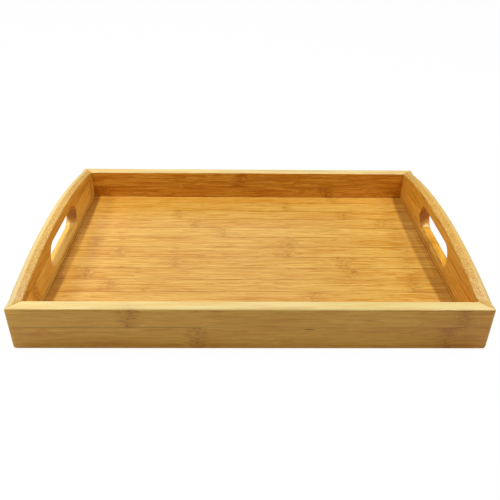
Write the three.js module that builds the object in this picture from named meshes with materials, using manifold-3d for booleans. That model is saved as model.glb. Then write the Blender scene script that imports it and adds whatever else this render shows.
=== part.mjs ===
// Bamboo serving tray: two straight rails, two arched end panels with hand holes, a
// three-ply floor panel held in a groove, and a loose spline glued across each mitre.
//
// Millimetres. X runs along the tray, Y from the front to the back and Z up. The origin is
// the centre of the footprint, on the surface that the tray stands on.

import * as THREE from "three";
import { mergeVertices } from "three/addons/utils/BufferGeometryUtils.js";
import Module from "manifold-3d";

// Overall size. The rails are level; each end panel rises to the arch height at its middle.
const TRAY_LENGTH = 400;
const TRAY_DEPTH = 280;
const RAIL_HEIGHT = 42.5;
const ARCH_HEIGHT = 55.5;
const WALL = 12;

// Rounding of the edges.
const BOTTOM_OUTER_RADIUS = 2.5;
const BOTTOM_INNER_RADIUS = 1;
const RAIL_TOP_OUTER_RADIUS = 2;
const END_TOP_OUTER_RADIUS = 1.5;
const TOP_INNER_RADIUS = 1.5;
const UPRIGHT_CORNER_RADIUS = 1.5;
const HOLE_EDGE_RADIUS = 1.5;

// Racetrack-shaped hand hole in each end panel.
const HOLE_LENGTH = 96;
const HOLE_HEIGHT = 26;
const HOLE_CENTRE_HEIGHT = 31;

// Heights of the glue lines between the strips, and the thickness of the glue.
const RAIL_JOINT = 24;
const END_LOWER_JOINT = 14;
const END_UPPER_JOINT = 38;
const GLUE = 0.125;
const MITRE_GLUE = 0.25;

// Floor panel: backing, cross-laid core and a face of strips that run along the tray.
const FLOOR_TOP = 10.5;
const FACE_THICKNESS = 2.375;
const CORE_THICKNESS = 2;
const BACKING_THICKNESS = 1.375;
const FACE_STRIPS = 13;
const GROOVE_DEPTH = 4;
const GROOVE_END_PLAY = 0.3;

// Loose spline across each mitre, set towards the inner corner.
const SPLINE_THICKNESS = 3;
const SPLINE_WIDTH = 10;
const SPLINE_BOTTOM = 16;
const SPLINE_TOP = 35;
const SPLINE_INSET = 8;
const SPLINE_PLAY = 0.25;

// Fineness of the round shapes.
const ARC_STEPS = 3;
const HOLE_STEPS = 8;
const ARCH_STEPS = 360;

const MARGIN = 20;
const RIGHT_ANGLE = Math.PI / 2;

const wasm = await Module();
wasm.setup();

function toSolid(geometry) {
  const bare = geometry.clone();
  bare.deleteAttribute("normal");
  bare.deleteAttribute("uv");
  const merged = mergeVertices(bare, 1e-4);
  const mesh = new wasm.Mesh({
    numProp: 3,
    vertProperties: Float32Array.from(merged.attributes.position.array),
    triVerts: Uint32Array.from(merged.index.array),
  });
  return new wasm.Manifold(mesh);
}

function toGeometry(solid) {
  const mesh = solid.getMesh();
  const geometry = new THREE.BufferGeometry();
  geometry.setAttribute("position", new THREE.BufferAttribute(mesh.vertProperties, 3));
  geometry.setIndex(new THREE.BufferAttribute(mesh.triVerts, 1));
  geometry.computeVertexNormals();
  return geometry;
}

// A box between two heights, centred on the Z axis.
function slab(length, depth, bottom, top) {
  const box = new THREE.BoxGeometry(length, depth, top - bottom);
  box.translate(0, 0, (bottom + top) / 2);
  return toSolid(box);
}

// A closed outline from left to right and bottom to top, with each corner rounded.
function roundedOutline(left, right, bottom, top, radii) {
  const shape = new THREE.Shape();
  const corners = [
    [right - radii.bottomRight, bottom + radii.bottomRight, radii.bottomRight, -1],
    [right - radii.topRight, top - radii.topRight, radii.topRight, 0],
    [left + radii.topLeft, top - radii.topLeft, radii.topLeft, 1],
    [left + radii.bottomLeft, bottom + radii.bottomLeft, radii.bottomLeft, 2],
  ];
  for (const [x, y, radius, quarter] of corners) {
    shape.absarc(x, y, radius, quarter * RIGHT_ANGLE, (quarter + 1) * RIGHT_ANGLE);
  }
  return shape;
}

// Every side is built lying along X with its outer face at Y = -half, and its group turns
// it into place. This is the cross-section of a side, in Y and Z.
function sideSection(half, top, topOuterRadius) {
  return roundedOutline(-half, -half + WALL, 0, top, {
    bottomLeft: BOTTOM_OUTER_RADIUS,
    bottomRight: BOTTOM_INNER_RADIUS,
    topRight: TOP_INNER_RADIUS,
    topLeft: topOuterRadius,
  });
}

function extrudeAlongX(section, length) {
  const bar = new THREE.ExtrudeGeometry(section, {
    depth: length,
    bevelEnabled: false,
    curveSegments: ARC_STEPS,
  });
  const alongX = new THREE.Matrix4().makeBasis(
    new THREE.Vector3(0, 1, 0),
    new THREE.Vector3(0, 0, 1),
    new THREE.Vector3(1, 0, 0),
  );
  bar.applyMatrix4(alongX);
  bar.translate(-length / 2, 0, 0);
  return toSolid(bar);
}

// Plan of one side between its two mitres, with room for the glue in each mitre.
function mitredPlan(length, half) {
  const glue = MITRE_GLUE * Math.SQRT1_2;
  const outer = length / 2 - glue;
  const inner = outer - WALL;
  const plan = new THREE.Shape([
    new THREE.Vector2(-outer, -half),
    new THREE.Vector2(outer, -half),
    new THREE.Vector2(inner, -half + WALL),
    new THREE.Vector2(-inner, -half + WALL),
  ]);
  const prism = new THREE.ExtrudeGeometry(plan, {
    depth: ARCH_HEIGHT + MARGIN,
    bevelEnabled: false,
  });
  return toSolid(prism);
}

// The whole tray's plan, which rounds the upright outer corners.
function trayPlan(length, depth) {
  const radius = UPRIGHT_CORNER_RADIUS;
  const plan = roundedOutline(-length / 2, length / 2, -depth / 2, depth / 2, {
    bottomLeft: radius,
    bottomRight: radius,
    topRight: radius,
    topLeft: radius,
  });
  const prism = new THREE.ExtrudeGeometry(plan, {
    depth: ARCH_HEIGHT + MARGIN,
    bevelEnabled: false,
    curveSegments: ARC_STEPS,
  });
  return toSolid(prism);
}

function splineBox(play) {
  const height = SPLINE_TOP - SPLINE_BOTTOM;
  return new THREE.BoxGeometry(SPLINE_THICKNESS + play, SPLINE_WIDTH + play, height + play);
}

// Cuts the floor's groove, the splines' slots, the mitres and the rounded corners.
function finishSide(body, length, half) {
  const land = WALL - GROOVE_DEPTH;
  const groove = slab(
    length - 2 * land,
    2 * (half - land),
    FLOOR_TOP - floorThickness() - GLUE,
    FLOOR_TOP + GLUE,
  );
  let side = body.intersect(mitredPlan(length, half)).intersect(trayPlan(length, 2 * half));
  side = side.subtract(groove);
  for (const end of [-1, 1]) {
    const slot = splineBox(2 * SPLINE_PLAY);
    slot.rotateZ(-end * RIGHT_ANGLE / 2);
    slot.translate(
      end * (length / 2 - SPLINE_INSET),
      -half + SPLINE_INSET,
      (SPLINE_BOTTOM + SPLINE_TOP) / 2,
    );
    side = side.subtract(toSolid(slot));
  }
  return side;
}

// Splits a side into its strips at the glue lines, lowest first.
function splitAtJoints(side, joints) {
  const edges = [-MARGIN, ...joints, ARCH_HEIGHT + MARGIN];
  const reach = TRAY_LENGTH + MARGIN;
  return edges.slice(1).map((top, index) => {
    const bottom = index === 0 ? edges[0] : edges[index] + GLUE;
    return side.intersect(slab(reach, reach, bottom, top));
  });
}

function railStrips() {
  const half = TRAY_DEPTH / 2;
  const section = sideSection(half, RAIL_HEIGHT, RAIL_TOP_OUTER_RADIUS);
  const body = extrudeAlongX(section, TRAY_LENGTH);
  return splitAtJoints(finishSide(body, TRAY_LENGTH, half), [RAIL_JOINT]);
}

// The part of an end panel under the arch: the cross-section's top, swept round the arch.
function archedBody(half) {
  const chord = TRAY_DEPTH / 2 - WALL;
  const rise = ARCH_HEIGHT - RAIL_HEIGHT;
  const radius = (chord * chord + rise * rise) / (2 * rise);
  const section = roundedOutline(-half, -half + WALL, radius - ARCH_HEIGHT - MARGIN, radius, {
    bottomLeft: BOTTOM_INNER_RADIUS,
    bottomRight: BOTTOM_INNER_RADIUS,
    topRight: TOP_INNER_RADIUS,
    topLeft: END_TOP_OUTER_RADIUS,
  });
  const profile = section.getPoints(ARC_STEPS).map((point) => new THREE.Vector2(point.y, point.x));
  profile.push(profile[0].clone());
  profile.reverse();
  const ring = new THREE.LatheGeometry(profile, ARCH_STEPS);
  ring.translate(0, 0, ARCH_HEIGHT - radius);
  return toSolid(ring);
}

// A plate as thick as the wall, pierced by the hand hole with its rounded edges.
function piercedPlate(half) {
  const edge = HOLE_EDGE_RADIUS;
  const reach = TRAY_DEPTH / 2 + MARGIN;
  const plate = new THREE.Shape([
    new THREE.Vector2(-reach, -MARGIN),
    new THREE.Vector2(reach, -MARGIN),
    new THREE.Vector2(reach, ARCH_HEIGHT + MARGIN),
    new THREE.Vector2(-reach, ARCH_HEIGHT + MARGIN),
  ]);
  const endRadius = HOLE_HEIGHT / 2;
  const endCentre = HOLE_LENGTH / 2 - endRadius;
  const hole = new THREE.Path();
  hole.absarc(endCentre, HOLE_CENTRE_HEIGHT, endRadius, RIGHT_ANGLE, -RIGHT_ANGLE, true);
  hole.absarc(-endCentre, HOLE_CENTRE_HEIGHT, endRadius, -RIGHT_ANGLE, -3 * RIGHT_ANGLE, true);
  plate.holes.push(hole);
  const geometry = new THREE.ExtrudeGeometry(plate, {
    depth: WALL - 2 * edge,
    bevelThickness: edge,
    bevelSize: edge,
    bevelOffset: -edge,
    bevelSegments: ARC_STEPS,
    curveSegments: HOLE_STEPS,
  });
  geometry.rotateX(RIGHT_ANGLE);
  geometry.translate(0, -half + WALL - edge, 0);
  return toSolid(geometry);
}

function endStrips() {
  const half = TRAY_LENGTH / 2;
  const tall = sideSection(half, ARCH_HEIGHT + MARGIN, END_TOP_OUTER_RADIUS);
  const level = sideSection(half, RAIL_HEIGHT, END_TOP_OUTER_RADIUS);
  const arched = extrudeAlongX(tall, TRAY_DEPTH).intersect(archedBody(half));
  const body = extrudeAlongX(level, TRAY_DEPTH).add(arched).intersect(piercedPlate(half));
  return splitAtJoints(finishSide(body, TRAY_DEPTH, half), [END_LOWER_JOINT, END_UPPER_JOINT]);
}

// Lacquered bamboo; tone lightens or darkens one strip against its neighbours.
function bamboo(colour, tone) {
  const material = new THREE.MeshStandardMaterial({ color: colour, roughness: 0.38, metalness: 0 });
  material.color.offsetHSL(0, 0, tone);
  return material;
}

function addMesh(group, name, geometry, material) {
  const mesh = new THREE.Mesh(geometry, material);
  mesh.name = name;
  group.add(mesh);
  return mesh;
}

function addSide(tray, name, turn, strips, stripNames, colour) {
  const side = new THREE.Group();
  side.rotation.z = turn;
  strips.forEach((strip, index) => {
    const tone = 0.03 * (index % 2);
    addMesh(side, `${name}_${stripNames[index]}_strip`, toGeometry(strip), bamboo(colour, tone));
  });
  tray.add(side);
}

function floorThickness() {
  return FACE_THICKNESS + CORE_THICKNESS + BACKING_THICKNESS + 2 * GLUE;
}

function addFloor(tray) {
  const land = WALL - GROOVE_DEPTH;
  const length = TRAY_LENGTH - 2 * land - 2 * GROOVE_END_PLAY;
  const depth = TRAY_DEPTH - 2 * land - 2 * GROOVE_END_PLAY;
  const floor = new THREE.Group();
  floor.position.z = FLOOR_TOP - floorThickness();

  const backing = new THREE.BoxGeometry(length, depth, BACKING_THICKNESS);
  addMesh(floor, "floor_backing_ply", backing, bamboo(0xc8934a, 0)).position.z =
    BACKING_THICKNESS / 2;

  const core = new THREE.BoxGeometry(length, depth, CORE_THICKNESS);
  addMesh(floor, "floor_core_ply", core, bamboo(0xb98546, 0)).position.z =
    BACKING_THICKNESS + GLUE + CORE_THICKNESS / 2;

  const pitch = (depth + GLUE) / FACE_STRIPS;
  for (let index = 0; index < FACE_STRIPS; index += 1) {
    const strip = new THREE.BoxGeometry(length, pitch - GLUE, FACE_THICKNESS);
    const number = String(index + 1).padStart(2, "0");
    const tone = 0.02 * Math.sin(2.4 * index);
    const mesh = addMesh(floor, `floor_face_strip_${number}`, strip, bamboo(0xd7963f, tone));
    mesh.position.y = (index - (FACE_STRIPS - 1) / 2) * pitch;
    mesh.position.z = floorThickness() - FACE_THICKNESS / 2;
  }
  tray.add(floor);
}

function addSplines(tray) {
  for (const [depthName, y] of [["front", -1], ["back", 1]]) {
    for (const [sideName, x] of [["left", -1], ["right", 1]]) {
      const name = `corner_spline_${depthName}_${sideName}`;
      const spline = addMesh(tray, name, splineBox(0), bamboo(0xb07a3a, 0));
      spline.position.set(
        x * (TRAY_LENGTH / 2 - SPLINE_INSET),
        y * (TRAY_DEPTH / 2 - SPLINE_INSET),
        (SPLINE_BOTTOM + SPLINE_TOP) / 2,
      );
      spline.rotation.z = x * y * RIGHT_ANGLE / 2;
    }
  }
}

const tray = new THREE.Group();
tray.name = "serving_tray";

const rail = railStrips();
const railNames = ["lower", "upper"];
addSide(tray, "front_rail", 0, rail, railNames, 0xa67e40);
addSide(tray, "back_rail", 2 * RIGHT_ANGLE, rail, railNames, 0xaa6416);

const end = endStrips();
const endNames = ["lower", "middle", "crown"];
addSide(tray, "left_end", -RIGHT_ANGLE, end, endNames, 0xcb8c3c);
addSide(tray, "right_end", RIGHT_ANGLE, end, endNames, 0xb7711c);

addFloor(tray);
addSplines(tray);

export default tray;
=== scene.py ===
"""Bamboo serving tray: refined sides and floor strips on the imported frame, procedural
lacquered bamboo, a plain white studio and the camera. Metres throughout."""

import math

import bmesh
import bpy
from mathutils import Matrix, Vector


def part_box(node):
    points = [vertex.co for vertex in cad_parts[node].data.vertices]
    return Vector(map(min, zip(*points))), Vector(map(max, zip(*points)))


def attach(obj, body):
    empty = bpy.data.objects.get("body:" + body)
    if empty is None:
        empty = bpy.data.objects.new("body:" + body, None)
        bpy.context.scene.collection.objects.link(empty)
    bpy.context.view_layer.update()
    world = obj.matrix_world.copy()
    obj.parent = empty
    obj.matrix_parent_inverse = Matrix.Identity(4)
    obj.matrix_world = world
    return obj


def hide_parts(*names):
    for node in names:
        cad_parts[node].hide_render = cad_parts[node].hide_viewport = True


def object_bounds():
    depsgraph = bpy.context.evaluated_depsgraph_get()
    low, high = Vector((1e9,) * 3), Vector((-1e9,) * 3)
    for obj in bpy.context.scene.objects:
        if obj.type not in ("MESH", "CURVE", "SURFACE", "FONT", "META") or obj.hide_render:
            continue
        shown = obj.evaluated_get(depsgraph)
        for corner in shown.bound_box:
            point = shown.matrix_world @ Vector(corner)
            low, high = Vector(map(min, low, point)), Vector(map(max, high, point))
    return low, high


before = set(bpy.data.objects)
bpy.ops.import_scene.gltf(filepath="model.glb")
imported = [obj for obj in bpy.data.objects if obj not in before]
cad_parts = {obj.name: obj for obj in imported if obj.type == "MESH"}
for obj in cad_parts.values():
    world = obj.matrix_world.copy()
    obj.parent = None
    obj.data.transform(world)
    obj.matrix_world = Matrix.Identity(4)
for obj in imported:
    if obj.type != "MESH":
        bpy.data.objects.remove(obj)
cad_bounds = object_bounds()

MM = 0.001

# ---------------------------------------------------------------------------------------
# Sizes, read from the frame where it has them
# ---------------------------------------------------------------------------------------

LOW, HIGH = cad_bounds
LENGTH = HIGH.x - LOW.x
DEPTH = HIGH.y - LOW.y
ARCH_TOP = HIGH.z
RAIL_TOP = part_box("front_rail_upper_strip")[1].z
FLOOR_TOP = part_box("floor_face_strip_01")[1].z
FLOOR_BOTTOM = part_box("floor_backing_ply")[0].z
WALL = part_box("left_end_middle_strip")[1].x - LOW.x

# The floor's play in its groove, above and below it and at its ends.
GROOVE_PLAY = 0.125 * MM
GROOVE_END_PLAY = 0.3 * MM
GROOVE_WALL = HIGH.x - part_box("floor_core_ply")[1].x - GROOVE_END_PLAY

# Each rounding is (across the thickness, in height).
BOTTOM_OUTER_RADIUS = (3.4 * MM, 3.2 * MM)
BOTTOM_INNER_RADIUS = (1.0 * MM, 1.0 * MM)
RAIL_TOP_OUTER_RADIUS = (2.2 * MM, 2.0 * MM)
END_TOP_OUTER_RADIUS = (4.0 * MM, 2.0 * MM)
TOP_INNER_RADIUS = (1.5 * MM, 1.5 * MM)
EASE = (0.07 * MM, 0.07 * MM)
SHARP = (0, 0)
UPRIGHT_RADIUS = 2.4 * MM

# Glue fills most of the gap between two strips of a side, from both of them. At a mitre,
# each side stops short along its length, which leaves a glue line between the two.
GLUE_FILL = 0.045 * MM
MITRE_GLUE = 0.25 * MM
MITRE_GAP = MITRE_GLUE * math.sqrt(0.5)

SPLINE_THICKNESS = 3 * MM
SPLINE_WIDTH = 10 * MM
SPLINE_PLAY = 0.25 * MM

HOLE_LENGTH = 96 * MM
HOLE_HEIGHT = 26 * MM
HOLE_CENTRE = 31 * MM
HOLE_EDGE_RADIUS = 1.5 * MM

# How finely the curves are divided. A rounding of up to SMALL_RADIUS gets fewer steps.
ARC_STEPS = 6
SMALL_ARC_STEPS = 2
SMALL_RADIUS = 0.5 * MM
CORNER_STEPS = 5
HOLE_STEPS = 20
ARCH_STATIONS = 72
RAIL_STATIONS = 8
SHEET_STATIONS = 6

CUTTER_OVERRUN = 2 * MM
MERGE_DISTANCE = 1e-6
SHARP_ANGLE = math.radians(32)
FLAT_FACE_WEIGHT = 80
RIGHT_ANGLE = math.radians(90)


# ---------------------------------------------------------------------------------------
# Meshes
# ---------------------------------------------------------------------------------------


def rounded_polygon(corners):
    """Points of a closed right-angled polygon from (x, y, (x radius, y radius)) corners,
    with a quarter ellipse at each, or a plain corner where the radii are nought."""
    points = []
    for index, (x, y, radii) in enumerate(corners):
        here = Vector((x, y))
        if not all(radii):
            points.append(here)
            continue
        before = (Vector(corners[index - 1][:2]) - here).normalized()
        after = (Vector(corners[(index + 1) % len(corners)][:2]) - here).normalized()
        along_x = abs(before.x) > abs(before.y)
        to_start = before * radii[0 if along_x else 1]
        to_end = after * radii[1 if along_x else 0]
        centre = here + to_start + to_end
        steps = ARC_STEPS if max(radii) > SMALL_RADIUS else SMALL_ARC_STEPS
        for step in range(steps + 1):
            angle = RIGHT_ANGLE * step / steps
            points.append(centre - to_end * math.cos(angle) - to_start * math.sin(angle))
    return points


def mesh_from(name, vertices, faces):
    """A cleaned mesh whose faces point outwards."""
    mesh = bpy.data.meshes.new(name)
    work = bmesh.new()
    made = [work.verts.new(v) for v in vertices]
    for face in faces:
        work.faces.new([made[i] for i in face])
    bmesh.ops.remove_doubles(work, verts=work.verts, dist=MERGE_DISTANCE)
    bmesh.ops.dissolve_degenerate(work, edges=work.edges, dist=MERGE_DISTANCE)
    bmesh.ops.recalc_face_normals(work, faces=work.faces)
    work.to_mesh(mesh)
    work.free()
    return mesh


def loft(name, rings):
    """A closed solid through rings of equal length, with a flat cap at each end."""
    size = len(rings[0])
    vertices = [point for ring in rings for point in ring]
    faces = []
    for ring in range(len(rings) - 1):
        for i in range(size):
            j = (i + 1) % size
            a, b = ring * size, (ring + 1) * size
            faces.append((a + i, a + j, b + j, b + i))
    faces.append(tuple(reversed(range(size))))
    faces.append(tuple(range((len(rings) - 1) * size, len(rings) * size)))
    return mesh_from(name, vertices, faces)


def arch_lift(along):
    """How far the arch stands above the rails at this distance from the middle."""
    chord = DEPTH / 2 - WALL
    rise = ARCH_TOP - RAIL_TOP
    if abs(along) >= chord:
        return 0.0
    radius = (chord * chord + rise * rise) / (2 * rise)
    return math.sqrt(radius * radius - along * along) - (radius - rise)


def corner_path(length, half, depth, side):
    """Plan points of one lengthwise line near a mitre, this deep behind the outer face:
    round the upright corner, or straight on to the mitre where the corner doesn't reach.
    side is -1 or 1 for the end of the line."""
    start = length / 2 - WALL
    if depth < UPRIGHT_RADIUS:
        centre = Vector((length / 2 - UPRIGHT_RADIUS, -half + UPRIGHT_RADIUS))
        radius = UPRIGHT_RADIUS - depth
        points = [Vector((start, -half + depth))]
        for step in range(CORNER_STEPS):
            angle = RIGHT_ANGLE / 2 * step / (CORNER_STEPS - 1)
            arm = Vector((math.sin(angle), -math.cos(angle)))
            points.append(centre + radius * arm)
    else:
        stop = length / 2 - depth
        points = [
            Vector((start + (stop - start) * step / CORNER_STEPS, -half + depth))
            for step in range(CORNER_STEPS + 1)
        ]
    return [Vector((side * (p.x - MITRE_GAP), p.y)) for p in points]


def side_rings(length, half, section, lifted_above):
    """Rings of a mitred side lying along X with its outer face at Y = -half.
    The section is (depth from the outer face, height). Points above lifted_above follow
    the arch, and a straight side has None there."""
    paths = {
        side: [corner_path(length, half, depth, side) for depth, _ in section]
        for side in (-1, 1)
    }
    stations = RAIL_STATIONS if lifted_above is None else ARCH_STATIONS
    straight = length / 2 - WALL - MITRE_GAP
    rings = []
    for step in range(CORNER_STEPS, 0, -1):
        rings.append([(*paths[-1][i][step], z) for i, (_, z) in enumerate(section)])
    for station in range(stations + 1):
        along = straight * (2 * station / stations - 1)
        ring = []
        for depth, z in section:
            lift = 0.0
            if lifted_above is not None and z > lifted_above:
                lift = arch_lift(along)
            ring.append((along, -half + depth, z + lift))
        rings.append(ring)
    for step in range(1, CORNER_STEPS + 1):
        rings.append([(*paths[1][i][step], z) for i, (_, z) in enumerate(section)])
    return rings


def racetrack(expand):
    """Outline of the hand hole in X and Z, grown by expand."""
    radius = HOLE_HEIGHT / 2 + expand
    centre = HOLE_LENGTH / 2 - HOLE_HEIGHT / 2
    points = []
    for side, first in ((1, -90), (-1, 90)):
        for step in range(HOLE_STEPS + 1):
            angle = math.radians(first + 180 * step / HOLE_STEPS)
            x = side * centre + radius * math.cos(angle)
            points.append((x, HOLE_CENTRE + radius * math.sin(angle)))
    return points


def hole_cutter(half):
    """A racetrack bar that flares at both faces, so that it leaves rounded edges."""
    levels = [(-CUTTER_OVERRUN, HOLE_EDGE_RADIUS)]
    for step in range(ARC_STEPS + 1):
        angle = RIGHT_ANGLE * step / ARC_STEPS
        inset = HOLE_EDGE_RADIUS * (1 - math.cos(angle))
        levels.append((inset, HOLE_EDGE_RADIUS * (1 - math.sin(angle))))
    depths = levels + [(WALL - inset, grow) for inset, grow in reversed(levels)]
    rings = [
        [(x, -half + depth, z) for x, z in racetrack(grow)] for depth, grow in depths
    ]
    return loft("cutter", rings)


def box_mesh(name, size, matrix):
    """A box of this size, turned and moved by the matrix."""
    mesh = bpy.data.meshes.new(name)
    work = bmesh.new()
    bmesh.ops.create_cube(work, size=1)
    bmesh.ops.scale(work, vec=size, verts=work.verts)
    bmesh.ops.transform(work, matrix=matrix, verts=work.verts)
    work.to_mesh(mesh)
    work.free()
    return mesh


def spline_slots(length, half):
    """Cutters for the two spline slots, larger than the splines by their play all round."""
    low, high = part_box("corner_spline_front_left")
    size = [
        extent + 2 * SPLINE_PLAY
        for extent in (SPLINE_THICKNESS, SPLINE_WIDTH, high.z - low.z)
    ]
    inset = (low.x + high.x) / 2 - LOW.x
    height = (low.z + high.z) / 2
    for side in (-1, 1):
        centre = (side * (length / 2 - inset), -half + inset, height)
        turn = Matrix.Rotation(-side * RIGHT_ANGLE / 2, 4, "Z")
        yield box_mesh("cutter", size, Matrix.Translation(centre) @ turn)


def cut(mesh, cutters):
    """The mesh with the cutters taken away."""
    piece = bpy.data.objects.new("work", mesh)
    bpy.context.scene.collection.objects.link(piece)
    tools = []
    for cutter in cutters:
        tool = bpy.data.objects.new("tool", cutter)
        bpy.context.scene.collection.objects.link(tool)
        tools.append(tool)
        step = piece.modifiers.new("cut", "BOOLEAN")
        step.operation = "DIFFERENCE"
        step.solver = "EXACT"
        step.object = tool
    graph = bpy.context.evaluated_depsgraph_get()
    result = bpy.data.meshes.new_from_object(piece.evaluated_get(graph), depsgraph=graph)
    for spare in [piece, *tools]:
        old = spare.data
        bpy.data.objects.remove(spare)
        bpy.data.meshes.remove(old)
    return result


def shade(piece):
    """Smooth shading that keeps flat faces flat and real edges crisp."""
    mesh = piece.data
    mesh.shade_smooth()
    mesh.set_sharp_from_angle(angle=SHARP_ANGLE)
    normals = piece.modifiers.new("flat_faces", "WEIGHTED_NORMAL")
    normals.keep_sharp = True
    normals.weight = FLAT_FACE_WEIGHT


def place(name, mesh, material, node):
    """A finished piece that stands for its CAD node and rides with it."""
    mesh.name = name
    piece = bpy.data.objects.new(name, mesh)
    bpy.context.scene.collection.objects.link(piece)
    mesh.materials.clear()
    mesh.materials.append(material)
    shade(piece)
    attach(piece, "root")
    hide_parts(node)


# ---------------------------------------------------------------------------------------
# Lacquered bamboo
# ---------------------------------------------------------------------------------------


class Tree:
    """Short calls for adding and linking shader nodes."""

    def __init__(self, tree):
        self.tree = tree

    def node(self, kind, inputs=None, **settings):
        made = self.tree.nodes.new(kind)
        for key, value in settings.items():
            setattr(made, key, value)
        for key, value in (inputs or {}).items():
            self.put(made.inputs[key], value)
        return made

    def put(self, socket, value):
        if isinstance(value, bpy.types.NodeSocket):
            self.tree.links.new(value, socket)
        else:
            socket.default_value = value

    def math(self, operation, *values, clamp=False):
        made = self.tree.nodes.new("ShaderNodeMath")
        made.operation = operation
        made.use_clamp = clamp
        for socket, value in zip(made.inputs, values):
            self.put(socket, value)
        return made.outputs[0]

    def ramp(self, value, low, high, to_low=0.0, to_high=1.0):
        """A smooth step from to_low to to_high, as the value goes from low to high."""
        made = self.node(
            "ShaderNodeMapRange",
            {
                "Value": value,
                "From Min": low,
                "From Max": high,
                "To Min": to_low,
                "To Max": to_high,
            },
            interpolation_type="SMOOTHSTEP",
        )
        return made.outputs["Result"]

    def mix(self, factor, a, b, blend="MIX"):
        """Two colours mixed, through the colour sockets of a mix node."""
        made = self.tree.nodes.new("ShaderNodeMix")
        made.data_type = "RGBA"
        made.blend_type = blend
        made.clamp_factor = True
        self.put(made.inputs[0], factor)
        self.put(made.inputs[6], a)
        self.put(made.inputs[7], b)
        return made.outputs[2]

    def vector(self, operation, a, b):
        made = self.tree.nodes.new("ShaderNodeVectorMath")
        made.operation = operation
        self.put(made.inputs[0], a)
        self.put(made.inputs[1], b)
        return made.outputs[0]

    def swing(self, value, gain):
        """A noise value of 0 to 1 as a swing to either side of nought."""
        return self.math("MULTIPLY", self.math("SUBTRACT", value, 0.5), gain)

    def noise(self, vector, scale, detail=2.0, roughness=0.55):
        """Noise stretched by a different scale along each axis, per metre."""
        made = self.node(
            "ShaderNodeTexNoise",
            {
                "Vector": self.vector("MULTIPLY", vector, scale),
                "Scale": 1.0,
                "Detail": detail,
                "Roughness": roughness,
            },
        )
        return made.outputs[0]


def rgb(red, green, blue):
    """A linear colour from display values of 0 to 255."""

    def linear(value):
        value /= 255
        return value / 12.92 if value <= 0.04045 else ((value + 0.055) / 1.055) ** 2.4

    return (linear(red), linear(green), linear(blue), 1.0)


def grey(level):
    """A linear grey."""
    return (level, level, level, 1)


PALE = rgb(243, 194, 92)
WARM = rgb(210, 140, 28)
CREAM = rgb(255, 230, 154)
FIBRE = rgb(178, 112, 12)
KNUCKLE = rgb(178, 108, 6)
# This dark brown colours the glue lines and the split, and also the line along the foot of
# the sides, where it is partly painted shade.
GLUE_AND_CREASE_SHADE = rgb(128, 60, 8)
END_GRAIN = rgb(160, 78, 6)

# What the wood's colour is multiplied by where it grows darker and more orange along X.
BROWNED = (0.91, 0.83, 0.60, 1)

# How fine each noise is, per metre: along the fibres, then across them.
GRAIN_SCALES = {
    "wander": (60, 120),
    "swerve": (90, 150),
    "wave": (26, 60),
    "hair": (30, 1700),
    "fine": (20, 760),
    "band": (7, 260),
    "broad": (5, 45),
    "dash": (60, 760),
    "marks": (120, 860),
    "top_patches": (14, 160),
    "glue_patches": (14, 60),
}
CROWN_CELL_SCALE = (700, 1500, 10)
CROWN_CELL_ROUGHNESS = 0.75

# How far a knuckle and its core reach, how far its edge wanders, and how far the fibres
# swerve beside it and wave everywhere.
KNUCKLE_REACH = 13 * MM
KNUCKLE_CORE = 4 * MM
WANDER_REACH = 14 * MM
SWERVE_REACH = 9 * MM
WAVE_REACH = 5 * MM

# Whole cycles that keep the count of knuckles above nought.
SPARE_CYCLES = 100

# How much each noise moves the tone, and how strongly each mark darkens it.
TONE_GAINS = {"hair": 1.0, "fine": 3.2, "band": 0.35, "broad": 0.9}
STREAK_STRENGTH = 0.28
FLECK_STRENGTH = 0.45
KNUCKLE_STRENGTHS = {"near": 0.16, "spots": 0.72, "core": 0.12}

# Roughness without the fibres and what they add, and how each mark stands up or sinks.
ROUGHNESS = 0.33
FIBRE_ROUGHNESS = 0.16
FIBRE_RELIEF = 0.6
FLECK_RELIEF = -0.4
SPOT_RELIEF = -0.5
SPECKLE_RELIEF = -0.5

# The faces of the strips: how pale a rail's top is from patch to patch (partly paler wood,
# partly painted sheen), where the painted highlight on the rim of an end's top starts and is
# whole (measured from the outer face), and how strong the rest is.
PALE_AND_SHEEN_TOP_PATCHES = (0.62, 0.95)
CROWN_HIGHLIGHT_RIM = (-5.8 * MM, -4.0 * MM)
CROWN_STRENGTH = 0.9
CROWN_CREAM = 0.35
CROWN_DARK = 0.3
END_GRAIN_STRENGTH = 0.7
END_GRAIN_ROUGHNESS = 0.4
# The line along the foot of the sides: partly glue, partly painted shade in the crease.
SKIRT_WIDTH = 1.3 * MM
SKIRT_STRENGTH = 0.6
GLUE_WIDTH = (0.1 * MM, 1.3 * MM)
GLUE_PATCHES = (0.25, 1.0)
SPLIT_STRENGTH = 0.9

IOR = 1.45
SPECULAR_LEVEL = 0.5
COAT_WEIGHT = 0.12
COAT_ROUGHNESS = 0.25
BUMP_STRENGTH = 0.18
BUMP_DISTANCE = 0.25 * MM

# An edge of a strip that isn't glued is said to lie this far off.
FAR_OFF = 1.0


def layer(tree, vector, name, **settings):
    """One of the grain's noises, stretched along X."""
    along, across = GRAIN_SCALES[name]
    return tree.noise(vector, (along, across, across), **settings)


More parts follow.
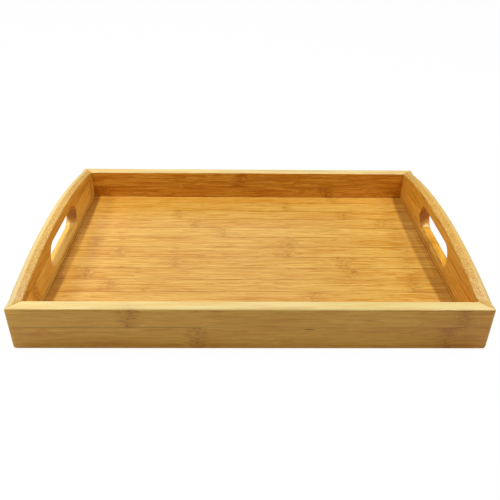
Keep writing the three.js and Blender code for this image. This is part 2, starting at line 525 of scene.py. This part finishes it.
def grain_group():
    """Bamboo along X: fibres, broad tone, dark flecks and the wavy marks of knuckles. Each
    pair of numbers in a ramp is the noise at which a mark starts and is whole."""
    group = bpy.data.node_groups.new("bamboo_grain", "ShaderNodeTree")
    face = group.interface
    face.new_socket(name="Vector", in_out="INPUT", socket_type="NodeSocketVector")
    for name in ("Seed", "Tone", "Knuckle", "Spacing", "Contrast", "Marks"):
        face.new_socket(name=name, in_out="INPUT", socket_type="NodeSocketFloat")
    face.new_socket(name="Color", in_out="OUTPUT", socket_type="NodeSocketColor")
    for name in ("Roughness", "Height"):
        face.new_socket(name=name, in_out="OUTPUT", socket_type="NodeSocketFloat")
    t = Tree(group)
    given = t.node("NodeGroupInput").outputs
    seed = given["Seed"]
    apart = t.node("ShaderNodeCombineXYZ", {"X": seed, "Y": seed, "Z": seed}).outputs[0]
    here = t.vector("ADD", given["Vector"], apart)
    along = t.node("ShaderNodeSeparateXYZ", {0: given["Vector"]}).outputs["X"]

    # Distance to the nearest knuckle, with a wandering edge. Knuckles come where the count
    # of cycles is a half over a whole number.
    wander = t.swing(layer(t, here, "wander"), WANDER_REACH)
    shifted = t.math("SUBTRACT", t.math("ADD", along, wander), given["Knuckle"])
    cycles = t.math("DIVIDE", shifted, given["Spacing"])
    cycles = t.math("ADD", cycles, SPARE_CYCLES + 0.5)
    away = t.math("ABSOLUTE", t.math("SUBTRACT", t.math("FRACT", cycles), 0.5))
    distance = t.math("MULTIPLY", away, given["Spacing"])
    near = t.ramp(distance, 0.0, KNUCKLE_REACH, 1.0, 0.0)
    core = t.ramp(distance, 0.0, KNUCKLE_CORE, 1.0, 0.0)

    # Fibres run slightly wavy, and swerve where they pass a knuckle.
    swerve = t.math("MULTIPLY", t.swing(layer(t, here, "swerve"), SWERVE_REACH), near)
    swerve = t.math("ADD", swerve, t.swing(layer(t, here, "wave"), WAVE_REACH))
    bend = t.node("ShaderNodeCombineXYZ", {"X": 0.0, "Y": swerve, "Z": swerve}).outputs[0]
    fibres_at = t.vector("ADD", here, bend)

    hair = layer(t, fibres_at, "hair")
    fine = layer(t, fibres_at, "fine")
    band = layer(t, fibres_at, "band")
    broad = layer(t, here, "broad")
    dash = layer(t, fibres_at, "dash", detail=1.0)
    marks = layer(t, fibres_at, "marks", detail=1.0)

    swings = t.swing(hair, TONE_GAINS["hair"])
    for noise, name in ((fine, "fine"), (band, "band"), (broad, "broad")):
        swings = t.math("ADD", t.swing(noise, TONE_GAINS[name]), swings)
    level = t.math("ADD", given["Tone"], 0.5)
    tone = t.math("MULTIPLY_ADD", swings, given["Contrast"], level, clamp=True)
    colour = t.mix(tone, WARM, PALE)

    streak = t.math("MULTIPLY", t.ramp(band, 0.50, 0.66), t.ramp(fine, 0.54, 0.66))
    streak = t.math("MULTIPLY", streak, given["Contrast"])
    colour = t.mix(t.math("MULTIPLY", streak, STREAK_STRENGTH), colour, FIBRE)
    fleck = t.math("MULTIPLY", t.ramp(dash, 0.62, 0.74), given["Contrast"])
    colour = t.mix(t.math("MULTIPLY", fleck, FLECK_STRENGTH), colour, FIBRE)

    spots = t.math("MULTIPLY", t.ramp(marks, 0.50, 0.60), near)
    for shape, name in ((near, "near"), (spots, "spots"), (core, "core")):
        amount = t.math("MULTIPLY", shape, KNUCKLE_STRENGTHS[name])
        amount = t.math("MULTIPLY", amount, given["Marks"])
        colour = t.mix(amount, colour, KNUCKLE)

    height = t.math("MULTIPLY", fleck, FLECK_RELIEF)
    height = t.math("MULTIPLY_ADD", fine, FIBRE_RELIEF, height)
    height = t.math("MULTIPLY_ADD", spots, SPOT_RELIEF, height)
    rough = t.math("MULTIPLY_ADD", fine, FIBRE_ROUGHNESS, ROUGHNESS)
    t.node("NodeGroupOutput", {"Color": colour, "Roughness": rough, "Height": height})
    return group


GRAIN = grain_group()


def pale_top_and_sheen(t, colour, up, grain_at):
    """The pale, slightly patchy top of a rail: partly paler wood and partly painted sheen,
    laid on the faces that look up.
    """
    patches = t.ramp(layer(t, grain_at, "top_patches"), 0.35, 0.65, *PALE_AND_SHEEN_TOP_PATCHES)
    return t.mix(t.math("MULTIPLY", t.ramp(up, 0.35, 0.9), patches), colour, CREAM)


def crown_top(t, colour, height, axes, up, grain_at, rim_highlight_strength, top_painted_shade):
    """The speckle of cut fibres on a curved top, beside its rounded outer edge, which is
    paled by painted highlight. The whole top is then darkened by painted shade.
    """
    upward = t.ramp(up, 0.25, 0.75)
    out = t.math("SUBTRACT", t.math("ABSOLUTE", axes["X"]), LENGTH / 2)
    # The rim is painted highlight: a pale band on the rounded outer edge, where the light
    # catches it.
    rim = t.ramp(out, *CROWN_HIGHLIGHT_RIM)
    cells = t.noise(grain_at, CROWN_CELL_SCALE, roughness=CROWN_CELL_ROUGHNESS)
    speckle = t.mix(CROWN_CREAM, PALE, CREAM)
    speckle = t.mix(t.ramp(cells, 0.38, 0.62), speckle, WARM)
    dark = t.ramp(cells, 0.58, 0.72)
    speckle = t.mix(t.math("MULTIPLY", dark, CROWN_DARK), speckle, FIBRE)
    topping = t.mix(t.math("MULTIPLY", rim, rim_highlight_strength), speckle, CREAM)
    # Painted shade: the whole top is darkened, most on the left end, whose lamp stands nearer
    # above it.
    topping = t.mix(1.0, topping, grey(top_painted_shade), "MULTIPLY")
    colour = t.mix(t.math("MULTIPLY", upward, CROWN_STRENGTH), colour, topping)
    sunk = t.math("MULTIPLY", dark, upward)
    return colour, t.math("MULTIPLY_ADD", sunk, SPECKLE_RELIEF, height)


def end_grain_faces(t, colour, rough, lengthwise):
    """Darker and duller wood on the faces that cut across the fibres."""
    cut_across = t.ramp(t.math("ABSOLUTE", lengthwise), 0.45, 0.95)
    cut_across = t.math("MULTIPLY", cut_across, END_GRAIN_STRENGTH)
    colour = t.mix(cut_across, colour, END_GRAIN)
    return colour, t.math("MULTIPLY_ADD", cut_across, END_GRAIN_ROUGHNESS, rough)


def foot_glue_and_shade_line(t, colour, axes):
    """The dark line on the floor along the foot of all four sides: partly glue, and partly
    painted shade in the crease where the floor meets them.
    """
    from_end = t.math("SUBTRACT", LENGTH / 2 - WALL, t.math("ABSOLUTE", axes["X"]))
    from_rail = t.math("SUBTRACT", DEPTH / 2 - WALL, t.math("ABSOLUTE", axes["Y"]))
    nearest = t.math("MINIMUM", from_end, from_rail)
    return t.mix(t.ramp(nearest, 0.0, SKIRT_WIDTH, SKIRT_STRENGTH, 0.0), colour, GLUE_AND_CREASE_SHADE)


def split_fleck(t, colour, axes, split):
    """A short dark split along the fibres: (x, z, half its length, half its width)."""
    middle_x, middle_z, half_length, half_width = split
    across_x = t.math("DIVIDE", t.math("SUBTRACT", axes["X"], middle_x), half_length)
    across_z = t.math("DIVIDE", t.math("SUBTRACT", axes["Z"], middle_z), half_width)
    spread = t.math("MULTIPLY", across_x, across_x)
    spread = t.math("MULTIPLY_ADD", across_z, across_z, spread)
    return t.mix(t.ramp(spread, 0.3, 1.0, SPLIT_STRENGTH, 0.0), colour, GLUE_AND_CREASE_SHADE)


def glue_lines(t, colour, axes, grain_at, glued, strength):
    """Patchy dark lines along a strip's two glued edges: (axis, low, high)."""
    axis, low, high = glued
    from_low = t.math("SUBTRACT", axes[axis], low)
    inside = t.math("MINIMUM", from_low, t.math("SUBTRACT", high, axes[axis]))
    line = t.ramp(inside, *GLUE_WIDTH, 1.0, 0.0)
    patchy = t.ramp(layer(t, grain_at, "glue_patches"), 0.30, 0.62, *GLUE_PATCHES)
    line = t.math("MULTIPLY", t.math("MULTIPLY", line, patchy), strength)
    return t.mix(line, colour, GLUE_AND_CREASE_SHADE)


def bamboo(
    name,
    seed,
    tone=0.0,
    turned=False,
    knuckle=0.05,
    spacing=0.2,
    contrast=1.0,
    marks=1.0,
    tint=None,
    browned=None,
    top=None,
    rim_highlight_strength=0.0,
    top_painted_shade=1.0,
    end_grain=False,
    foot_glue_and_shade=False,
    split=None,
    glued=None,
    glue_strength=0.3,
):
    """A strip's own bamboo. The grain runs along X, or along Y where it is turned. One
    knuckle stands at knuckle, and the rest at every spacing from it. contrast is for the
    fibres and marks is for the knuckles. tint multiplies the colour: the back rail's darkens
    it as painted shade, and the left end's brightens it as painted light. browned is the two
    places along X between which the colour grows darker and more orange. top is None, "pale"
    or "crown": a pale top is partly paler wood and partly painted sheen, a crown's rounded
    rim is paled by painted highlight as strongly as its rim setting says, and its top setting
    darkens the crown's top as painted shade. The foot setting adds the line along the foot of
    the sides, partly glue and partly painted shade, and split and glued add the marks that
    the functions above describe."""
    material = bpy.data.materials.new(name)
    material.use_nodes = True
    t = Tree(material.node_tree)
    where = t.node("ShaderNodeTexCoord").outputs["Object"]
    axes = t.node("ShaderNodeSeparateXYZ", {0: where}).outputs
    grain_at = where
    if turned:
        swapped = {"X": axes["Y"], "Y": axes["X"], "Z": axes["Z"]}
        grain_at = t.node("ShaderNodeCombineXYZ", swapped).outputs[0]
    settings = {
        "Vector": grain_at,
        "Seed": seed,
        "Tone": tone,
        "Knuckle": knuckle,
        "Spacing": spacing,
        "Contrast": contrast,
        "Marks": marks,
    }
    grain = t.node("ShaderNodeGroup", node_tree=GRAIN)
    for key, value in settings.items():
        t.put(grain.inputs[key], value)
    colour = grain.outputs["Color"]
    rough = grain.outputs["Roughness"]
    height = grain.outputs["Height"]
    normal = t.node("ShaderNodeNewGeometry").outputs["Normal"]
    facing = t.node("ShaderNodeSeparateXYZ", {0: normal}).outputs

    if tint:
        colour = t.mix(1.0, colour, tint, "MULTIPLY")
    if browned:
        colour = t.mix(t.ramp(axes["X"], *browned), colour, BROWNED, "MULTIPLY")
    # A pale top is partly paler wood and partly painted sheen on the faces that look up.
    if top == "pale":
        colour = pale_top_and_sheen(t, colour, facing["Z"], grain_at)
    # A crown's pale rim is painted highlight, and its top is darkened by painted shade.
    if top == "crown":
        colour, height = crown_top(
            t, colour, height, axes, facing["Z"], grain_at, rim_highlight_strength, top_painted_shade
        )
    if end_grain:
        lengthwise = facing["Y" if turned else "X"]
        colour, rough = end_grain_faces(t, colour, rough, lengthwise)
    # The line along the foot of the sides is partly glue and partly painted shade.
    if foot_glue_and_shade:
        colour = foot_glue_and_shade_line(t, colour, axes)
    if split:
        colour = split_fleck(t, colour, axes, split)
    if glued:
        colour = glue_lines(t, colour, axes, grain_at, glued, glue_strength)

    relief = {"Strength": BUMP_STRENGTH, "Distance": BUMP_DISTANCE, "Height": height}
    shader = material.node_tree.nodes["Principled BSDF"]
    t.put(shader.inputs["Base Color"], colour)
    t.put(shader.inputs["Roughness"], rough)
    t.put(shader.inputs["Normal"], t.node("ShaderNodeBump", relief).outputs[0])
    shader.inputs["IOR"].default_value = IOR
    shader.inputs["Specular IOR Level"].default_value = SPECULAR_LEVEL
    shader.inputs["Coat Weight"].default_value = COAT_WEIGHT
    shader.inputs["Coat Roughness"].default_value = COAT_ROUGHNESS
    return material


# ---------------------------------------------------------------------------------------
# The pieces
# ---------------------------------------------------------------------------------------


def strip_section(bottom, top, outer_bottom, inner_bottom, outer_top, inner_top, grooved):
    """(depth, height) points of one strip of a side, with the floor's groove if it has it."""
    corners = [(0, bottom, outer_bottom), (WALL, bottom, inner_bottom)]
    if grooved:
        low, high = FLOOR_BOTTOM - GROOVE_PLAY, FLOOR_TOP + GROOVE_PLAY
        corners += [(WALL, low, EASE), (GROOVE_WALL, low, SHARP)]
        corners += [(GROOVE_WALL, high, SHARP), (WALL, high, EASE)]
    corners += [(WALL, top, inner_top), (0, top, outer_top)]
    return [(p.x, p.y) for p in rounded_polygon(corners)]


def build_side(name, length, half, turn, arched, looks):
    """The strips of one side, lowest first, each cut for the splines and the hand hole.
    length is the side's own, half is how far its outer face is from the middle, and turn
    takes it from the front to its place."""
    spin = Matrix.Rotation(turn, 4, "Z")
    spline_low, spline_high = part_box("corner_spline_front_left")
    for index, (strip, look) in enumerate(looks.items()):
        node = f"{name}_{strip}_strip"
        low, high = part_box(node)
        lowest, highest = index == 0, index == len(looks) - 1
        bottom = low.z if lowest else low.z - GLUE_FILL
        top = high.z if highest else high.z + GLUE_FILL
        lifted = None
        if highest and arched:
            top = RAIL_TOP
            lifted = bottom + 2 * EASE[1]
        top_outer = END_TOP_OUTER_RADIUS if arched else RAIL_TOP_OUTER_RADIUS
        section = strip_section(
            bottom,
            top,
            outer_bottom=BOTTOM_OUTER_RADIUS if lowest else EASE,
            inner_bottom=BOTTOM_INNER_RADIUS if lowest else EASE,
            outer_top=top_outer if highest else EASE,
            inner_top=TOP_INNER_RADIUS if highest else EASE,
            grooved=lowest,
        )
        mesh = loft(node, side_rings(length, half, section, lifted))
        cutters = []
        if bottom < spline_high.z and top > spline_low.z:
            cutters += spline_slots(length, half)
        if arched and top > HOLE_CENTRE:
            cutters.append(hole_cutter(half))
        if cutters:
            mesh = cut(mesh, cutters)
        mesh.transform(spin)
        top_look = "crown" if arched else "pale"
        material = bamboo(
            node,
            turned=arched,
            top=top_look if highest else None,
            end_grain=arched,
            glued=("Z", -FAR_OFF if lowest else bottom, FAR_OFF if highest else top),
            **look,
        )
        place(f"{node}_finished", mesh, material, node)


def build_sheet(node, material):
    """A flat strip or sheet with eased long edges, filling the node's own box."""
    low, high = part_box(node)
    corners = ((low.y, low.z), (high.y, low.z), (high.y, high.z), (low.y, high.z))
    section = rounded_polygon([(y, z, EASE) for y, z in corners])
    rings = []
    for step in range(SHEET_STATIONS + 1):
        x = low.x + (high.x - low.x) * step / SHEET_STATIONS
        rings.append([(x, p.x, p.y) for p in section])
    place(f"{node}_finished", loft(node, rings), material, node)


def side_looks(shared, **strips):
    """Each strip's look, lowest first: what the side shares, under the strip's own."""
    return {strip: {**shared, **own} for strip, own in strips.items()}


# How each side's strips look. A knuckle's place and spacing are in metres, along the side.
FRONT = side_looks(
    {
        "contrast": 0.62,
        "marks": 0.9,
        "tint": (1.03, 0.98, 0.61, 1),
        "browned": (100 * MM, 175 * MM),
        "glue_strength": 0.28,
    },
    lower={
        "seed": 1.3,
        "tone": -0.05,
        "knuckle": -0.045,
        "spacing": 0.210,
        "split": (48 * MM, 22 * MM, 5 * MM, 0.7 * MM),
    },
    upper={"seed": 2.7, "tone": 0.02, "knuckle": -0.100, "spacing": 0.275},
)
# The back rail's tint is painted shade: it darkens and warms the whole rail, standing in for
# the shade on its inner face.
BACK = side_looks(
    {"contrast": 1.35, "marks": 1.4, "tint": (0.88, 0.75, 0.41, 1), "glue_strength": 0.2},
    lower={"seed": 3.1, "tone": -0.18, "knuckle": -0.175, "spacing": 0.270},
    upper={"seed": 4.9, "tone": -0.05, "knuckle": -0.010, "spacing": 0.240},
)
# The left end's tint is painted light: it brightens the whole end, standing in for light on
# its inner face.
LEFT = side_looks(
    {"tint": (1.10, 1.11, 0.98, 1)},
    lower={
        "seed": 5.3,
        "tone": 0.30,
        "knuckle": -0.108,
        "spacing": 0.250,
        "marks": 1.3,
        "glue_strength": 0.75,
    },
    middle={
        "seed": 6.1,
        "tone": 0.34,
        "knuckle": -0.100,
        "spacing": 0.215,
        "marks": 1.3,
        "glue_strength": 0.45,
    },
    crown={
        "seed": 7.7,
        "tone": -0.22,
        "knuckle": 0.21,
        "spacing": 0.330,
        "marks": 0.7,
        # Painted highlight on the rounded outer rim, strong on this end, where the light
        # catches it.
        "rim_highlight_strength": 0.95,
        # Painted shade that darkens this crown's top, whose lamp stands close above it.
        "top_painted_shade": 0.87,
    },
)
RIGHT = side_looks(
    {"tint": (1.04, 0.98, 0.66, 1)},
    lower={
        "seed": 8.9,
        "tone": 0.20,
        "knuckle": 0.01,
        "spacing": 0.290,
        "marks": 1.1,
        "glue_strength": 0.75,
    },
    middle={
        "seed": 9.4,
        "tone": 0.04,
        "knuckle": 0.01,
        "spacing": 0.240,
        "marks": 1.1,
        "glue_strength": 0.45,
    },
    crown={
        "seed": 10.2,
        "tone": -0.02,
        "knuckle": -0.19,
        "spacing": 0.310,
        "marks": 0.7,
        # Painted highlight on the rounded outer rim, weaker on this end.
        "rim_highlight_strength": 0.40,
        # Painted shade that darkens this crown's top a little.
        "top_painted_shade": 0.93,
    },
)

build_side("front_rail", LENGTH, DEPTH / 2, 0, False, FRONT)
build_side("back_rail", LENGTH, DEPTH / 2, 2 * RIGHT_ANGLE, False, BACK)
build_side("left_end", DEPTH, LENGTH / 2, -RIGHT_ANGLE, True, LEFT)
build_side("right_end", DEPTH, LENGTH / 2, RIGHT_ANGLE, True, RIGHT)

# Where one knuckle of each floor strip lies along it and how far apart they are, front
# strip first.
FLOOR_KNUCKLES = (
    (0.030, 0.30),
    (-0.120, 0.31),
    (0.060, 0.33),
    (-0.135, 0.29),
    (0.100, 0.26),
    (-0.075, 0.17),
    (-0.135, 0.175),
    (0.045, 0.21),
    (-0.030, 0.27),
    (-0.060, 0.21),
    (-0.080, 0.19),
    (0.045, 0.24),
    (0.105, 0.27),
)

# From one floor strip to the next, the noise moves on and the tone swings.
FLOOR_SEED = 20
FLOOR_SEED_STEP = 1.37
FLOOR_TONE_SWING = 0.09
FLOOR_TONE_STEP = 2.3

for number, (knuckle, spacing) in enumerate(FLOOR_KNUCKLES, start=1):
    node = f"floor_face_strip_{number:02d}"
    low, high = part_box(node)
    look = bamboo(
        node,
        seed=FLOOR_SEED + FLOOR_SEED_STEP * number,
        tone=FLOOR_TONE_SWING * math.sin(FLOOR_TONE_STEP * number),
        knuckle=knuckle,
        spacing=spacing,
        marks=0.68,
        foot_glue_and_shade=True,
        glued=("Y", low.y, high.y),
        glue_strength=0.22,
    )
    build_sheet(node, look)

backing_look = bamboo("floor_backing_ply", 50.0, tone=-0.05)
build_sheet("floor_backing_ply", backing_look)
core_look = bamboo("floor_core_ply", 60.0, tone=-0.15, turned=True)
build_sheet("floor_core_ply", core_look)

spline_look = bamboo("corner_spline", 70.0, tone=-0.2)
for node_name, node_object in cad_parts.items():
    if node_name.startswith("corner_spline"):
        node_object.data.materials.clear()
        node_object.data.materials.append(spline_look)


# ---------------------------------------------------------------------------------------
# Studio
# ---------------------------------------------------------------------------------------


# What the table and the room give to the light on the tray, and what the camera sees.
GROUND_REACH = 4.0
GROUND_BOUNCE = 0.75
GROUND_GLOW = 0.22
SEEN_GROUND_BOUNCE = 0.03
SEEN_GROUND_GLOW = 0.985
ROOM_LIGHT = 0.05
SEEN_ROOM_LIGHT = 1.1
WHITE = (1, 1, 1, 1)

# Each lamp's place, the point it faces, its width, its height and its power in watts. The
# small lamps and the wide wings beside them throw the shadows of the two ends.
LAMPS = {
    "lamp_left": ((-0.302, 0.02, 0.56), (-0.40, 0.02, 0), 0.045, 0.045, 1.97),
    "wing_left": ((-0.56, 0.02, 0.56), (-0.45, 0.02, 0), 0.40, 0.12, 1.36),
    "lamp_right": ((0.356, 0.02, 0.56), (0.44, 0.02, 0), 0.045, 0.045, 1.92),
    "wing_right": ((0.60, 0.02, 0.56), (0.45, 0.02, 0), 0.40, 0.12, 1.15),
    "fill": ((0, -1.6, 0.45), (0, 0, 0), 1.4, 0.5, 1.3),
    "sheen": ((-0.2, 1.25, 0.95), (-0.03, -0.05, 0), 1.1, 0.7, 3.1),
    "window": ((-1.3, 1.2, 0.25), (-0.2, 0, 0.05), 0.9, 0.6, 1.6),
}

# The lens and the sensor's width are in millimetres.
CAMERA_PLACE = Vector((-9.7, -510.5, 328.2)) * MM
CAMERA_PITCH = math.radians(31.70)
CAMERA_YAW = math.radians(1.17)
CAMERA_ROLL = math.radians(-0.82)
LENS = 41.49
SENSOR_WIDTH = 36


def build_lamp(name, spot, target, width, height, watts):
    """A rectangular lamp at this spot that faces its target."""
    light = bpy.data.lights.new(name, "AREA")
    light.shape = "RECTANGLE"
    light.size = width
    light.size_y = height
    light.energy = watts
    lamp = bpy.data.objects.new(name, light)
    lamp.location = spot
    lamp.rotation_mode = "QUATERNION"
    lamp.rotation_quaternion = (Vector(target) - Vector(spot)).to_track_quat("-Z", "Y")
    bpy.context.scene.collection.objects.link(lamp)


def build_ground():
    """A white table: to the camera it glows white and keeps only a trace of shadow. For the
    light on the tray it is pale paper that also glows a little, lighting the tray from below."""
    reach = GROUND_REACH
    corners = [(-reach, -reach, 0), (reach, -reach, 0), (reach, reach, 0), (-reach, reach, 0)]
    mesh = mesh_from("ground", corners, [(0, 1, 2, 3)])
    ground = bpy.data.objects.new("ground", mesh)
    bpy.context.scene.collection.objects.link(ground)
    material = bpy.data.materials.new("ground")
    material.use_nodes = True
    material.node_tree.nodes.clear()
    t = Tree(material.node_tree)
    seen = t.node("ShaderNodeLightPath").outputs["Is Camera Ray"]
    kinds = []
    for bounce, glow in (
        (GROUND_BOUNCE, GROUND_GLOW),
        (SEEN_GROUND_BOUNCE, SEEN_GROUND_GLOW),
    ):
        matt = t.node("ShaderNodeBsdfDiffuse", {"Color": grey(bounce)})
        lit = t.node("ShaderNodeEmission", {"Color": WHITE, "Strength": glow})
        added = t.node("ShaderNodeAddShader", {0: matt.outputs[0], 1: lit.outputs[0]})
        kinds.append(added.outputs[0])
    both = t.node("ShaderNodeMixShader", {0: seen, 1: kinds[0], 2: kinds[1]})
    t.node("ShaderNodeOutputMaterial", {"Surface": both.outputs[0]})
    mesh.materials.append(material)


def build_world():
    """Pure white behind the tray, and a dim white for the light that falls on it."""
    world = bpy.data.worlds.new("studio")
    bpy.context.scene.world = world
    world.use_nodes = True
    world.node_tree.nodes.clear()
    t = Tree(world.node_tree)
    seen = t.node("ShaderNodeLightPath").outputs["Is Camera Ray"]
    room, backdrop = (
        t.node("ShaderNodeBackground", {"Color": WHITE, "Strength": strength}).outputs[0]
        for strength in (ROOM_LIGHT, SEEN_ROOM_LIGHT)
    )
    both = t.node("ShaderNodeMixShader", {0: seen, 1: room, 2: backdrop})
    t.node("ShaderNodeOutputWorld", {"Surface": both.outputs[0]})


def build_camera():
    """Stands in front of the tray, a little left of its middle, looking down into it."""
    ahead = math.cos(CAMERA_PITCH)
    forward = Vector(
        (math.sin(CAMERA_YAW) * ahead, math.cos(CAMERA_YAW) * ahead, -math.sin(CAMERA_PITCH))
    )
    right = Vector((math.cos(CAMERA_YAW), -math.sin(CAMERA_YAW), 0))
    down = forward.cross(right)
    across = right * math.cos(CAMERA_ROLL) + down * math.sin(CAMERA_ROLL)
    up = right * math.sin(CAMERA_ROLL) - down * math.cos(CAMERA_ROLL)
    turn = Matrix((across, up, -forward)).transposed().to_4x4()
    camera = bpy.data.objects.new("camera", bpy.data.cameras.new("camera"))
    camera.data.sensor_width = SENSOR_WIDTH
    camera.data.lens = LENS
    camera.data.clip_start = 10 * MM
    camera.matrix_world = Matrix.Translation(CAMERA_PLACE) @ turn
    bpy.context.scene.collection.objects.link(camera)
    bpy.context.scene.camera = camera


build_ground()
build_world()
for lamp_name, lamp_facts in LAMPS.items():
    build_lamp(lamp_name, *lamp_facts)
build_camera()

scene = bpy.context.scene
scene.view_settings.view_transform = "Standard"
scene.view_settings.look = "None"
